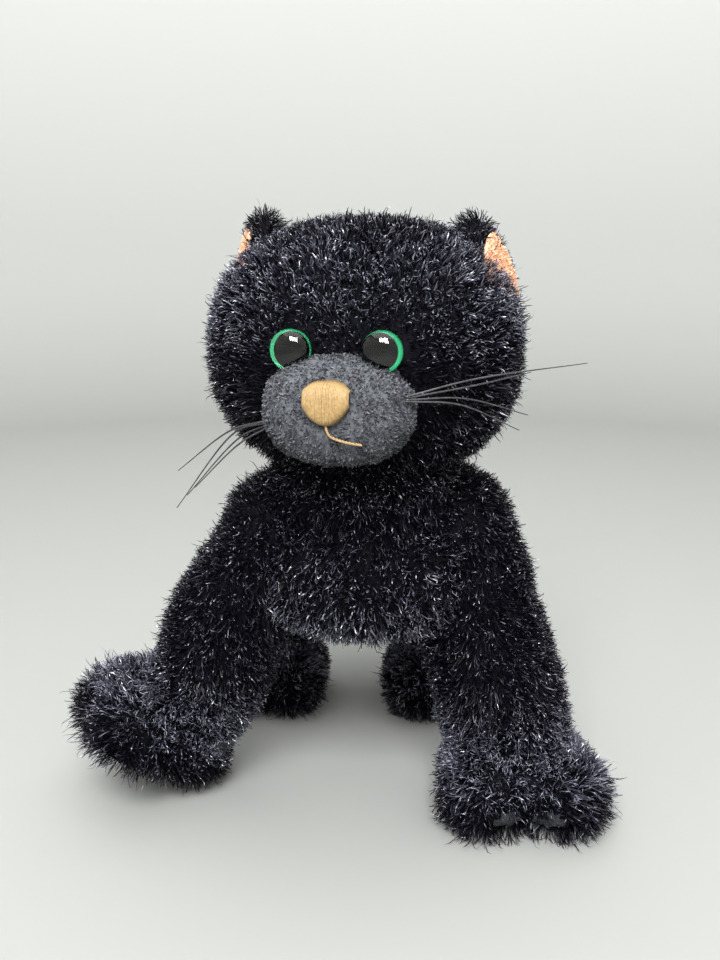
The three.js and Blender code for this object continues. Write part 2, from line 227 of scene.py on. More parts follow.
BACKING = speckled("plush_backing", (0.002, 0.002, 0.003), (0.007, 0.007, 0.010), 900, 0.9,
                   Specular_IOR_Level=0.05)
# The two palest pile shades are painted sheen and painted glints: light on the fibres, painted into their
# colour.
FUR = [
    principled("pile_black", (0.0022, 0.0020, 0.0036), 0.45, Specular_IOR_Level=0.10),
    principled("pile_blue_black", (0.0075, 0.0068, 0.0130), 0.34, Specular_IOR_Level=0.30),
    principled("pile_painted_sheen", (0.050, 0.049, 0.072), 0.28, Specular_IOR_Level=0.9),
    principled("pile_painted_glint", (0.25, 0.255, 0.32), 0.18, Specular_IOR_Level=1.0),
]
FUR_SHARE = (0.62, 0.38)
# Tip shades at random: blue-black, painted sheen and painted glint.
TIP_SHARE = (0.38, 0.38, 0.24)
FLEECE = speckled("grey_fleece_cloth", (0.035, 0.038, 0.044), (0.105, 0.110, 0.125), 700, 0.95)
# On the muzzle the palest loops are painted light, set where the light falls.
FLEECE_LOOPS = [
    principled("fleece_loop_dark", (0.050, 0.053, 0.062), 0.8),
    principled("fleece_loop_mid", (0.092, 0.097, 0.111), 0.8),
    principled("fleece_loop_light", (0.175, 0.182, 0.203), 0.75),
]
# The muzzle's grey fleece made darker for the soles: painted shade under the paws.
SOLE_FLEECE_PAINTED_SHADE = speckled("sole_fleece_cloth_painted_shade", (0.012, 0.013, 0.016), (0.040, 0.042, 0.050), 700, 0.95)
SOLE_LOOPS_PAINTED_SHADE = [
    principled("sole_loop_dark_painted_shade", (0.016, 0.017, 0.021), 0.8),
    principled("sole_loop_mid_painted_shade", (0.035, 0.037, 0.044), 0.8),
    principled("sole_loop_light_painted_shade", (0.070, 0.074, 0.086), 0.75),
]
PEACH = speckled("peach_fleece_cloth", (0.60, 0.34, 0.21), (0.80, 0.50, 0.34), 800, 0.95)
PEACH_LOOPS = [
    principled("peach_pile_dark", (0.62, 0.32, 0.18), 0.8),
    principled("peach_pile_mid", (0.78, 0.45, 0.28), 0.8),
    principled("peach_pile_light", (0.90, 0.58, 0.40), 0.75),
]
THREAD = speckled("tan_satin_thread", (0.24, 0.148, 0.058), (0.38, 0.258, 0.110), 1500, 0.5, bump=0.15)
BRISTLE = speckled("bristle_nylon", (0.016, 0.016, 0.018), (0.06, 0.06, 0.066), 300, 0.25, bump=0.05)
DOME = principled("clear_dome", (1, 1, 1), 0.02, IOR=1.49, Transmission_Weight=1.0)
PUPIL = speckled("pupil_gloss", (0.001, 0.001, 0.001), (0.003, 0.003, 0.003), 200, 0.5, bump=0.0,
                 Specular_IOR_Level=0.0)
SHANK = speckled("eye_shank_plastic", (0.70, 0.70, 0.67), (0.80, 0.80, 0.78), 300, 0.45, bump=0.1)


def ring_material():
    """The green painted behind the dome, a little uneven."""
    material = principled("green_iris", (0.02, 0.40, 0.14), 0.35)
    nodes, links = material.node_tree.nodes, material.node_tree.links
    noise = nodes.new("ShaderNodeTexNoise")
    noise.inputs["Scale"].default_value = 900
    ramp = nodes.new("ShaderNodeValToRGB")
    ramp.color_ramp.elements[0].color = (0.008, 0.36, 0.13, 1)
    ramp.color_ramp.elements[1].color = (0.030, 0.62, 0.27, 1)
    links.new(noise.outputs["Fac"], ramp.inputs["Fac"])
    links.new(ramp.outputs["Color"], nodes["Principled BSDF"].inputs["Base Color"])
    return material


IRIS = ring_material()


# ---------------------------------------------------------------- pile

def triangles(obj):
    mesh = obj.data
    mesh.calc_loop_triangles()
    tri = np.empty(len(mesh.loop_triangles) * 3, dtype=np.int64)
    mesh.loop_triangles.foreach_get("vertices", tri)
    return positions(mesh) / MM - ORIGIN / MM, tri.reshape(-1, 3), vertex_normals(mesh)


def vertex_normals(mesh):
    normals = np.empty(len(mesh.vertices) * 3)
    mesh.vertex_normals.foreach_get("vector", normals)
    return normals.reshape(-1, 3)


def roots_on(obj, per_mm2, rng):
    """Random points on a skin, in design millimetres, with their normals."""
    points, tri, normals = triangles(obj)
    a, b, c = (points[tri[:, i]] for i in range(3))
    area = np.linalg.norm(np.cross(b - a, c - a), axis=1) / 2
    count = int(area.sum() * per_mm2)
    pick = rng.choice(len(tri), size=count, p=area / area.sum())
    u, v = rng.random((2, count))
    flip = u + v > 1
    u[flip], v[flip] = 1 - u[flip], 1 - v[flip]
    w = 1 - u - v
    spread = [w[:, None], u[:, None], v[:, None]]
    root = sum(points[tri[pick, i]] * spread[i] for i in range(3))
    normal = sum(normals[tri[pick, i]] * spread[i] for i in range(3))
    return root, unit(normal)


def unit(v):
    return v / np.maximum(np.linalg.norm(v, axis=-1, keepdims=True), 1e-9)


def drift(points, wavelength, seed):
    """A smooth random direction field: sums of sines in random directions."""
    rng = np.random.default_rng(seed)
    field = np.zeros_like(points)
    for _ in range(5):
        waves = rng.normal(size=(3, 3)) * (2 * math.pi / wavelength)
        field += np.sin(points @ waves + rng.random(3) * 2 * math.pi)
    return field / 2.2


def pile(name, skin, rng, comb=None, length=PILE, keep=None, per_mm2=PER_MM2, width=PILE_WIDTH,
         curl=1.05, loose=0.24, swirl=0.30, tuft=0.5, guard=0.05, slots=FUR, share=FUR_SHARE,
         tips=TIP_SHARE, dull_below=3.9, painted_sheen_share=None):
    """Grows curled blades from a skin, each of three parts: root, middle and tip.

    comb(root, normal) adds a lie to the pile, keep(root, normal) is the share of fibres that stay, and
    sparkle(root) is the share of them that are pale, in the tip and then in the middle."""
    root, normal = roots_on(skin, per_mm2, rng)
    if keep is not None:
        chosen = rng.random(len(root)) < keep(root, normal)
        root, normal = root[chosen], normal[chosen]
    count = len(root)
    tall = (length(root) if callable(length) else np.full(count, float(length)))
    tall = tall * rng.uniform(*LENGTH_SPREAD, count)
    tall[rng.random(count) < guard] *= GUARD_LENGTH
    lie = comb(root, normal) if comb is not None else 0
    heading = unit(normal + lie + swirl * drift(root, 24, 3) + loose * rng.normal(size=(count, 3)))
    below = (heading * normal).sum(axis=1) < LEAST_RISE
    heading[below] = unit(heading[below] + normal[below] * 0.6)
    hook = unit(np.cross(heading, unit(rng.normal(size=(count, 3)))))
    bend = curl * rng.uniform(0.2, 1.3, count)[:, None]
    step = tall[:, None]
    p0 = root - normal * ROOT_DEPTH
    p1 = p0 + heading * step * BLADE_PARTS[0]
    p2 = p1 + unit(heading + hook * bend * 0.6) * step * BLADE_PARTS[1]
    p3 = p2 + unit(heading * (1 - 0.6 * bend) + hook * bend * 1.3) * step * BLADE_PARTS[2]
    if tuft:
        gather(root, (p1, p2, p3), tuft, rng)
    for p in (p1, p2, p3):
        p[:, 2] = np.maximum(p[:, 2], FLOOR_GAP)
    flat = unit(np.cross(p2 - p0, rng.normal(size=(count, 3)))) * (width / 2)
    flat *= rng.uniform(0.7, 1.25, count)[:, None]
    verts = np.stack([p0 - flat, p0 + flat, p1 - flat, p1 + flat,
                      p2 - flat * BLADE_TAPER, p2 + flat * BLADE_TAPER, p3], axis=1).reshape(-1, 3)
    corner = np.array([0, 1, 3, 2, 2, 3, 5, 4, 4, 5, 6])
    loops = (np.arange(count)[:, None] * 7 + corner).ravel()
    mesh = bpy.data.meshes.new(name)
    mesh.vertices.add(len(verts))
    mesh.vertices.foreach_set("co", world(verts).ravel())
    mesh.loops.add(len(loops))
    mesh.loops.foreach_set("vertex_index", loops.astype(np.int32))
    starts = (np.arange(count)[:, None] * 11 + np.array([0, 4, 8])).ravel()
    mesh.polygons.add(count * 3)
    mesh.polygons.foreach_set("loop_start", starts.astype(np.int32))
    body_shade = rng.choice(len(share), size=count, p=share)
    # For the black pile the two palest shades are painted sheen and painted glints; here they fall on the
    # tips at random.
    tip_shade = rng.choice(len(tips), size=count, p=tips) + len(slots) - len(tips)
    middle_shade = body_shade.copy()
    if painted_sheen_share is not None:
        # Painted light: pale tips and middles set by position, where the light falls.
        glint = painted_sheen_share(root)
        bright = rng.random(count)
        pale, palest = len(slots) - 2, len(slots) - 1
        duller = np.where(bright < 2.6 * glint + 0.06, pale, body_shade)
        tip_shade = np.where(bright < glint, palest, duller)
        middle_shade = np.where(rng.random(count) < 1.3 * glint - 0.08, pale, body_shade)
    if dull_below:
        short = tall < dull_below * rng.uniform(0.8, 1.1, count)
        tip_shade[short] = body_shade[short]
    shades = np.stack([body_shade, middle_shade, tip_shade], axis=1).ravel()
    mesh.polygons.foreach_set("material_index", shades.astype(np.int32))
    for material in slots:
        mesh.materials.append(material)
    mesh.update(calc_edges=True)
    mesh.shade_smooth()
    obj = bpy.data.objects.new(name, mesh)
    bpy.context.scene.collection.objects.link(obj)
    return obj


TUFT_OF = 8           # fibres that lean together
TUFT_REACH = 2.4      # millimetres


def gather(root, points, strength, rng):
    """Leans each fibre towards the nearest leading one, more so at its tip."""
    count = len(root)
    leaders = rng.choice(count, size=max(1, count // TUFT_OF), replace=False)
    tree = kdtree.KDTree(len(leaders))
    for i, k in enumerate(leaders):
        tree.insert(root[k], i)
    tree.balance()
    lead = leaders[[tree.find(r)[1] for r in root]]
    apart = np.linalg.norm(root[lead] - root, axis=1)
    near = np.exp(-(apart / TUFT_REACH) ** 2)[:, None] * strength
    for p, pull in zip(points, (0.15, 0.5, 0.75)):
        p += (p[lead] - p) * near * pull


def depth_in(skin):
    """A function that says how deep points lie inside a skin, in millimetres."""
    graph = bpy.context.evaluated_depsgraph_get()
    tree = BVHTree.FromObject(skin, graph)

    def depth(points):
        out = np.zeros(len(points))
        for i, p in enumerate(world(points)):
            hit, normal = tree.find_nearest(p)[:2]
            out[i] = -(Vector(p) - hit).dot(normal) / MM
        return out
    return depth


def outside(*skins, margin=1.5):
    """keep(): drops the fibres whose roots lie deep inside another skin."""
    depths = [depth_in(skin) for skin in skins]

    def keep(root, normal):
        share = np.ones(len(root))
        for depth in depths:
            share[depth(root) > margin] = 0
        return share
    return keep


# ---------------------------------------------------------------- the body

TORSO = [(2, -2, 97, 25), (2, 20, 101, 28), (2, 50, 96, 28.5), (2, 78, 92, 29), (2, 96, 91, 26)]
LEGS = {
    "front_left": dict(limb=[(31, -3, 110, 19.5), (36, -1, 98, 19.8), (44, -2, 70, 20.5),
                             (52, 2, 42, 22), (56, 2, 22, 21)],
                       paw=(59, -3, 0), half=(28, 26, 15.5), out=0, up=0, toe_pad=8),
    "front_right": dict(limb=[(-27, -3, 108, 19.3), (-31, -1, 97, 19.8), (-48, 1, 71, 20),
                              (-57, 6, 46, 19.5), (-68, 10, 32, 18.5), (-80, 9, 33, 17)],
                        paw=(-83.5, 8, 12), half=(24, 28, 15.5), out=-62, up=34, toe_pad=0),
    "hind_left": dict(limb=[(34, 86, 86, 20.5), (37, 88, 60, 20), (36, 91, 34, 19), (37, 90, 16, 15)],
                      paw=(37, 86, 0), half=(24, 26, 15), out=6, up=0, toe_pad=0),
    "hind_right": dict(limb=[(-30, 86, 86, 20.5), (-36, 88, 60, 20), (-40, 93, 34, 19), (-41, 93, 16, 15)],
                       paw=(-41, 90, 0), half=(24, 26, 15), out=-10, up=0, toe_pad=0),
}
TOE = {"across": 8, "half": 6.5, "round": 7}
TAIL = [(2, 110, 92, 9), (10, 131, 84, 8.5), (28, 143, 79, 8.5), (47, 145, 79, 8), (61, 141, 80.5, 6.5)]
HEAD = dict(at=(0, -1.5, 170.5), half=(48, 35, 38.5))
HEAD_FULLNESS = 2.4
MUZZLE = dict(at=(0, -36, 155.5), half=(22.3, 17, 16))
UNDER_MUZZLE = (21.5, 15.2)   # half size of the bare patch that the muzzle covers
EYE = dict(across=13.5, height=173.0, front=-37.2, radius=6.1)


def paw_frame(leg):
    turn = Matrix.Rotation(math.radians(leg["out"]), 4, "Z")
    lift = Matrix.Rotation(-math.radians(leg["up"]), 4, "X")
    return np.array(Matrix.Translation(leg["paw"]) @ turn @ lift)


def in_frame(points, matrix):
    return np.asarray(points) @ matrix[:3, :3].T + matrix[:3, 3]


def leg_parts(leg):
    """A limb of spheres, and a paw of one broad pad and two toes."""
    frame_of_paw = paw_frame(leg)
    parts = beads(leg["limb"], 18)
    w, d, h = leg["half"]
    lumps = [((0, 3, 13), (w - 1, d - 4, h - 2))]
    lumps += [((side * w * 0.43, -d * 0.44, 12.5), (w * 0.53, d * 0.54, h * 0.82)) for side in (-1, 1)]
    for centre, half in lumps:
        verts, faces = sphere_mesh(centre, half, 2.2)
        verts[:, 2] = np.maximum(verts[:, 2], 1.2)
        parts.append((in_frame(verts, frame_of_paw), faces))
    for verts, _ in parts:
        verts[:, 2] = np.maximum(verts[:, 2], 1.2)
    return parts


def in_paw(points, leg):
    """Design frame to a paw's own frame: its sole is z = 0 and its toes point along -Y."""
    return in_frame(points, np.linalg.inv(paw_frame(leg)))


def on_sole(leg):
    """The fleece patch under a paw, which runs up over the front of its toes."""
    def chosen(points, normals):
        p = in_paw(points, leg)
        facing = normals @ paw_frame(leg)[:3, 2]
        under = (p[:, 2] < 2.6) & (facing < -0.1)
        off_toe = np.abs(p[:, 0]) - TOE["across"]
        front = (p[:, 1] < -0.6 * leg["half"][1]) & (np.abs(off_toe) < TOE["half"])
        arch = 4.5 + 2.5 * (off_toe / TOE["half"]) ** 2
        rise = leg["toe_pad"] * (1 - (off_toe / TOE["round"]) ** 2)
        pad = front & (p[:, 2] > arch) & (p[:, 2] < arch + rise)
        return under | pad
    return chosen


def patch(name, skin, chosen, lift, material):
    """A second cloth over part of a skin, a little proud of it."""
    points, normals = positions(skin.data) / MM - ORIGIN / MM, vertex_normals(skin.data)
    mark = chosen(points, normals)
    faces = [list(p.vertices) for p in skin.data.polygons if mark[list(p.vertices)].all()]
    used = sorted({v for face in faces for v in face})
    index = {v: i for i, v in enumerate(used)}
    verts = points[used] + normals[used] * lift
    verts[:, 2] = np.maximum(verts[:, 2], 0.25)
    obj = mesh_object(name, world(verts), [[index[v] for v in face] for face in faces], material)
    thick = obj.modifiers.new("thickness", "SOLIDIFY")
    thick.thickness = lift * 1.2 * MM
    thick.offset = -1
    evaluated(obj)
    obj.data.shade_smooth()
    return obj


def build_skins():
    skins = {}
    torso = [sphere_mesh(r[:3], (r[3] * 1.16, r[3], r[3] * 0.93)) for r in spline(TORSO, 10)]
    torso.append(sphere_mesh((2, -4, 96), (37, 23, 24), 2.6))
    torso.append(sphere_mesh((2, -6, 121), (35, 22, 17)))
    skins["torso"] = soft_skin("torso_skin", torso, BACKING)
    for name, leg in LEGS.items():
        skins[name + "_leg"] = soft_skin(name + "_leg_skin", leg_parts(leg), BACKING, voxel=2.5, smooth=6)
    skins["tail"] = soft_skin("tail_skin", beads(TAIL, 18), BACKING, voxel=2.5, smooth=5)
    skins["neck"] = soft_skin("neck_skin", [sphere_mesh((2, -8, 134), (29, 25, 17))], BACKING)
    verts, faces = sphere_mesh(HEAD["at"], HEAD["half"], HEAD_FULLNESS, 4)
    skins["head"] = soft_skin("head_skin", [(turned(verts), faces)], BACKING, voxel=2.5, smooth=3)
    return skins


def downward(strength):
    def comb(root, normal):
        pull = np.zeros_like(root)
        pull[:, 2] = -strength
        return pull
    return comb


def parted(strength, middle=2.0, reach=16):
    """Combs the pile down, and away from the seam down the middle of the chest."""
    def comb(root, normal):
        pull = downward(strength)(root, normal)
        aside = root[:, 0] - middle
        pull[:, 0] = np.tanh(aside / 3) * 0.32 * np.exp(-(aside / reach) ** 2)
        return pull
    return comb


def from_point(strength, centre):
    """Combs the pile away from a point."""
    def comb(root, normal):
        return unit(root - np.asarray(centre)) * strength
    return comb


def to_head(points):
    """Design frame to the head's own frame."""
    c, s = math.cos(-HEAD_TURN), math.sin(-HEAD_TURN)
    x, y = points[:, 0] - NECK[0], points[:, 1] - NECK[1]
    return np.stack([x * c - y * s, x * s + y * c, points[:, 2]], axis=1)


def head_cover(root, normal):
    """No pile under the muzzle, and none over the eyes."""
    p = to_head(root)
    front = p[:, 1] < -20
    wide, tall = UNDER_MUZZLE
    muzzle = ((p[:, 0] / wide) ** 2 + ((p[:, 2] - MUZZLE["at"][2]) / tall) ** 2 < 1) & front
    eyes = np.zeros(len(p), dtype=bool)
    for side in (-1, 1):
        away = np.hypot(p[:, 0] - side * EYE["across"], p[:, 2] - EYE["height"])
        eyes |= (away < EYE["radius"] - 0.2) & front
    return np.where(muzzle | eyes, 0.0, 1.0)


def head_length(root):
    """The pile is clipped short round the eyes and the muzzle."""
    p = to_head(root)
    tall = np.full(len(p), 5.4)
    wide, _, tall_half = MUZZLE["half"]
    gap = np.sqrt((p[:, 0] / wide) ** 2 + ((p[:, 2] - MUZZLE["at"][2]) / tall_half) ** 2) - 1
    near = np.clip(gap / 0.35, 0, 1)
    for side in (-1, 1):
        away = np.hypot(p[:, 0] - side * EYE["across"], p[:, 2] - EYE["height"])
        near = np.minimum(near, np.clip((away - EYE["radius"]) / 7, 0, 1))
    front = p[:, 1] < -15
    tall[front] = 2.4 + (tall[front] - 2.4) * near[front]
    return tall


def face_comb(root, normal):
    """Pile lies away from the middle of the face."""
    p = to_head(root)
    away = p - np.array([0, -30, 160.0])
    away[:, 1] = 0.3 * np.abs(away[:, 1])
    out = unit(away) * 0.45
    c, s = math.cos(HEAD_TURN), math.sin(HEAD_TURN)
    return np.stack([out[:, 0] * c - out[:, 1] * s, out[:, 0] * s + out[:, 1] * c, out[:, 2]], axis=1)


def leg_pile(name, leg, skins, rng):
    """Down the leg, then out from the top of the paw, and none on the sole or in the toe crease."""
    hidden = outside(skins["torso"], margin=7)
    sole = on_sole(leg)
    crown = in_frame([(0, 7, 12)], paw_frame(leg))[0]

    def lowness(root):
        return np.clip((40 - in_paw(root, leg)[:, 2]) / 14, 0, 1)[:, None]

    def comb(root, normal):
        low = lowness(root)
        return downward(0.28)(root, normal) * (1 - low) + from_point(0.75, crown)(root, normal) * low

    def length(root):
        p = in_paw(root, leg)
        toe = np.clip((-p[:, 1]) / 14, 0, 1) * lowness(root)[:, 0]
        crease = np.exp(-(p[:, 0] / 1.8) ** 2) * toe
        return (5.6 + 3.4 * toe) * (1 - 0.65 * crease)

    # Painted sheen: pale tips over the top of each paw, where the light falls.
    def painted_sheen_share(root):
        top = np.clip((in_paw(root, leg)[:, 2] - 12) / 8, 0, 1)
        above_ankle = np.clip((50 - in_paw(root, leg)[:, 2]) / 30, 0, 1)
        return 0.10 + 0.66 * above_ankle * top

    def keep(root, normal):
        share = hidden(root, normal)
        share[sole(root, normal)] = 0
        return share
    return pile(name + "_leg_pile", skins[name + "_leg"], rng, comb=comb, length=length, keep=keep,
                painted_sheen_share=painted_sheen_share)


def chest_painted_sheen(root):
    """Painted sheen: pale curled tips low on the chest, and along the back, where the light falls."""
    low = np.clip((116 - root[:, 2]) / 38, 0, 1) * np.clip((8 - root[:, 1]) / 16, 0, 1)
    back = np.clip((root[:, 2] - 105) / 15, 0, 1) * (root[:, 1] > 0)
    return 0.09 + 0.30 * np.maximum(low, 0.5 * back)


def head_painted_sheen(root):
    """Painted sheen: brightest over the forehead, where the light falls, dark round the face and at the
    very top.
    """
    p = to_head(root)
    high = np.clip((p[:, 2] - 168) / 15, 0, 1) * np.clip((208 - p[:, 2]) / 8, 0.2, 1)
    side = np.clip((np.abs(p[:, 0]) - 26) / 14, 0, 1)
    return 0.035 + 0.47 * np.maximum(high, 0.22 * side)


def build_pile(skins):
    rng = np.random.default_rng(20)
    legs = [skins[name + "_leg"] for name in LEGS]
    furs = {}
    furs["torso"] = pile("torso_pile", skins["torso"], rng, comb=parted(0.3), length=6.2,
                         keep=outside(*legs, skins["head"], margin=5), per_mm2=1.42, painted_sheen_share=chest_painted_sheen)
    for name, leg in LEGS.items():
        furs[name + "_leg"] = leg_pile(name, leg, skins, rng)
    furs["tail"] = pile("tail_pile", skins["tail"], rng, length=5.6, keep=outside(skins["torso"], margin=5))
    furs["neck"] = pile("neck_pile", skins["neck"], rng, comb=downward(0.2), length=6.0,
                        keep=outside(skins["torso"], skins["head"], margin=5))
    furs["head"] = pile("head_pile", skins["head"], rng, comb=face_comb, length=head_length,
                        keep=head_cover, per_mm2=1.80, painted_sheen_share=head_painted_sheen)
    return furs


def build_soles(skins, rng):
    """Grey fleece under each paw, turned up over the toes, in a darker copy of the muzzle's fleece: painted
    shade.
    """
    made = {}
    for name, leg in LEGS.items():
        cloth = patch(name + "_sole_cloth", skins[name + "_leg"], on_sole(leg), 0.7, SOLE_FLEECE_PAINTED_SHADE)
        nap = pile(name + "_sole_fleece", cloth, rng, length=1.0, per_mm2=2.2, width=0.42, curl=1.4,
                   loose=0.5, tuft=0.3, guard=0, dull_below=0, slots=SOLE_LOOPS_PAINTED_SHADE, share=(0.5, 0.5),
                   tips=(0.25, 0.45, 0.3))
        made[name] = (cloth, nap)
    return made


# ---------------------------------------------------------------- the face

def front_of(shape, x, z):
    at, half = shape["at"], shape["half"]
    rest = 1 - np.abs((x - at[0]) / half[0]) ** FULLNESS - np.abs((z - at[2]) / half[2]) ** FULLNESS
    return at[1] - half[1] * np.maximum(rest, 0) ** (1 / FULLNESS)


def tube(name, points, radii, material, sides=8, steps=40):
    """A round strand through points, with radii spread evenly along it."""
    path = spline(points, steps)
    given = np.linspace(0, 1, len(radii))
    radius = np.interp(np.linspace(0, 1, steps), given, radii)
    verts, faces = tube_mesh(path, radius, sides)
    return mesh_object(name, world(verts), faces, material)


def tube_mesh(path, radius, sides=8):
    """The rings are set up against the axis that the path runs along least, so they never turn over."""
    tangent = unit(np.gradient(path, axis=0))
    guide = np.eye(3)[abs(tangent).max(axis=0).argmin()]
    a = unit(np.cross(tangent, guide))
    b = np.cross(tangent, a)
    angle = np.arange(sides) * 2 * math.pi / sides
    ring = a[:, None] * np.cos(angle)[None, :, None] + b[:, None] * np.sin(angle)[None, :, None]
    verts = (path[:, None] + ring * np.asarray(radius)[:, None, None]).reshape(-1, 3)
    faces = []
    for i in range(len(path) - 1):
        for k in range(sides):
            n = (k + 1) % sides
            faces.append([i * sides + k, i * sides + n, (i + 1) * sides + n, (i + 1) * sides + k])
    faces.append(list(range(sides))[::-1])
    last = (len(path) - 1) * sides
    faces.append([last + k for k in range(sides)])
    return verts, faces


NOSE = dict(middle=159.4, wide=6.7, tall=6.5, proud=3.9, threads=38, thread=0.29)


def muzzle_front(x, z):
    """The muzzle's face, pulled in round the stitches of the nose."""
    dent = 2.7 * np.exp(-((x / 9) ** 2 + ((z - NOSE["middle"] + 1) / 9) ** 2))
    return front_of(MUZZLE, x, z) + dent


def build_muzzle(rng):
    verts, faces = sphere_mesh(MUZZLE["at"], MUZZLE["half"], FULLNESS, 5)
    front = verts[:, 1] < MUZZLE["at"][1]
    plain = front_of(MUZZLE, verts[front, 0], verts[front, 2])
    verts[front, 1] += muzzle_front(verts[front, 0], verts[front, 2]) - plain
    verts = verts + drift(verts, 11, 5) * 0.3
    skin = mesh_object("muzzle_skin", world(turned(verts)), faces, FLEECE)
    head_depth = depth_in(bpy.data.objects["head_skin"])

    def seen(root, normal):
        p = to_head(root)
        nose = (p[:, 0] / NOSE["wide"]) ** 2 + ((p[:, 2] - NOSE["middle"]) / NOSE["tall"]) ** 2 < 1.0
        return np.where((head_depth(root) > 1.0) | (nose & (p[:, 1] < -40)), 0.0, 1.0)

    # Painted light and shade: more pale loops high on the muzzle, fewer round the mouth below the nose.
    def muzzle_painted_light(root):
        p = to_head(root)
        near = np.exp(-(((p[:, 0] - 2) / 9) ** 2 + ((p[:, 2] - 150) / 8) ** 2))
        return 0.30 * np.clip((p[:, 2] - 148) / 16, 0.15, 1) * (1 - near)

    loops = pile("muzzle_fleece", skin, rng, length=1.9, keep=seen, per_mm2=2.9, width=0.46, curl=1.7,
                 loose=0.6, swirl=0.5, tuft=0.5, guard=0, dull_below=0, slots=FLEECE_LOOPS,
                 share=(0.55, 0.45), tips=(0.35, 0.47, 0.18), painted_sheen_share=muzzle_painted_light)
    return [skin, loops]


def build_nose():
    """A satin-stitched shield: close vertical threads over a pad."""
    middle, wide, tall = NOSE["middle"], NOSE["wide"], NOSE["tall"]
    rng = np.random.default_rng(5)
    parts = []
    t = np.linspace(-1, 1, 16)
    for x in np.sin(np.linspace(-1.33, 1.33, NOSE["threads"])):
        top = middle + tall * (0.94 - 0.42 * abs(x) ** 3)
        low = middle - tall * (0.98 - 0.86 * abs(x) ** 2.2)
        z = (top + low) / 2 - (top - low) / 2 * t
        crown = (1 - abs(x) ** 3.2) ** (1 / 3.2) * (1 - np.abs(t) ** 3) ** (1 / 3)
        across = x * wide + rng.uniform(-0.05, 0.05)
        face = muzzle_front(across, np.clip(z, middle - tall, None))
        y = face - NOSE["proud"] * crown + rng.uniform(-0.06, 0.06)
        path = np.stack([np.broadcast_to(across, z.shape), y, z], axis=1)
        parts.append(tube_mesh(path, np.full(len(t), NOSE["thread"]), 6))
    centre = (0, muzzle_front(0.0, middle) + 0.4, middle)
    parts.append(sphere_mesh(centre, (wide * 0.6, NOSE["proud"] * 0.55, tall * 0.5), 2.2, 3))
    verts, faces = joined(parts)
    return mesh_object("nose_satin_stitch", world(turned(verts)), faces, THREAD)


def build_mouth():
    """One twisted thread: down from the nose, then out to the cat's left."""
    smile = [(0.1, 154.0), (0.6, 151.8), (1.8, 150.2), (4.4, 149.2), (7.4, 148.5), (10.2, 148.0)]
    rows = spline([(x, muzzle_front(x, z) - 1.5, z) for x, z in smile], 60)
    parts = []
    for strand in range(2):
        spin = np.linspace(0, 16 * math.pi, 60) + strand * math.pi
        offset = np.stack([np.cos(spin), np.zeros(60), np.sin(spin)], axis=1) * 0.17
        parts.append(tube_mesh(rows + offset, np.full(60, 0.27), 6))
    verts, faces = joined(parts)
    return mesh_object("mouth_thread", world(turned(verts)), faces, THREAD)


def lathe(profile, steps=48):
    """Turns (radius, forward) pairs round the eye's own axis, -Y."""
    angle = np.arange(steps) * 2 * math.pi / steps
    verts = [(r * math.cos(a), -f, r * math.sin(a)) for r, f in profile for a in angle]
    faces = []
    for i in range(len(profile) - 1):
        for k in range(steps):
            n = (k + 1) % steps
            faces.append([i * steps + k, i * steps + n, (i + 1) * steps + n, (i + 1) * steps + k])
    return np.array(verts), faces


EYE_SPLAY = math.radians(2)
PUPIL_SHIFT = 0.62    # towards the nose, so the ring is widest on its outer side


def build_eye(side):
    """A clear dome with the ring and the pupil set into its back, so no air lies between them."""
    word = "left" if side > 0 else "right"
    r = EYE["radius"]
    seat = np.array([side * EYE["across"], EYE["front"] - 1, EYE["height"]])
    splay = np.array(Matrix.Rotation(side * EYE_SPLAY, 4, "Z"))
    angles = np.linspace(0, math.pi / 2, 16)
    dome = [(0.001, 0.9), (r * 0.5, 0.9), (r - 0.05, 0.9), (r, 1.0)]
    dome += [(max(r * math.cos(a), 0.001), 2.3 + 3.5 * math.sin(a)) for a in angles]
    iris = [(3.0, 1.7), (5.2, 1.8), (5.7, 1.75), (5.98, 1.5), (5.98, 0.3), (3.0, 0.3), (3.0, 1.7)]
    pupil = [(0.001, 2.3), (2.5, 2.3), (4.3, 2.15), (4.75, 1.9), (4.75, 0.5), (0.001, 0.5)]
    made = []
    layers = (("clear_dome", dome, DOME), ("iris", iris, IRIS), ("pupil", pupil, PUPIL))
    for piece, profile, material in layers:
        verts, faces = lathe(profile)
        if piece == "pupil":
            verts[:, 0] -= side * PUPIL_SHIFT
        verts = in_frame(verts, splay) + seat
        made.append(mesh_object(f"{word}_eye_{piece}", world(turned(verts)), faces, material))
    return made


EAR = dict(across=40.5, back=1, width=15.5, height=16.5, lean=14)
EAR_MIDDLE = {1: 195.5, -1: 197.5}
EAR_FORWARD = {1: 14, -1: 25}
LINING = 0.88
LINING_DROP = 3.2


def ear_frame(side):
    rot = Matrix.Rotation
    pose = (Matrix.Translation((side * EAR["across"], EAR["back"], EAR_MIDDLE[side]))
            @ rot(math.radians(-side * EAR_FORWARD[side]), 4, "Z")
            @ rot(math.radians(-side * EAR["lean"]), 4, "Y")
            @ rot(math.pi / 2 * side, 4, "Y") @ rot(math.pi / 2 * side, 4, "Z"))
    return np.array(pose)


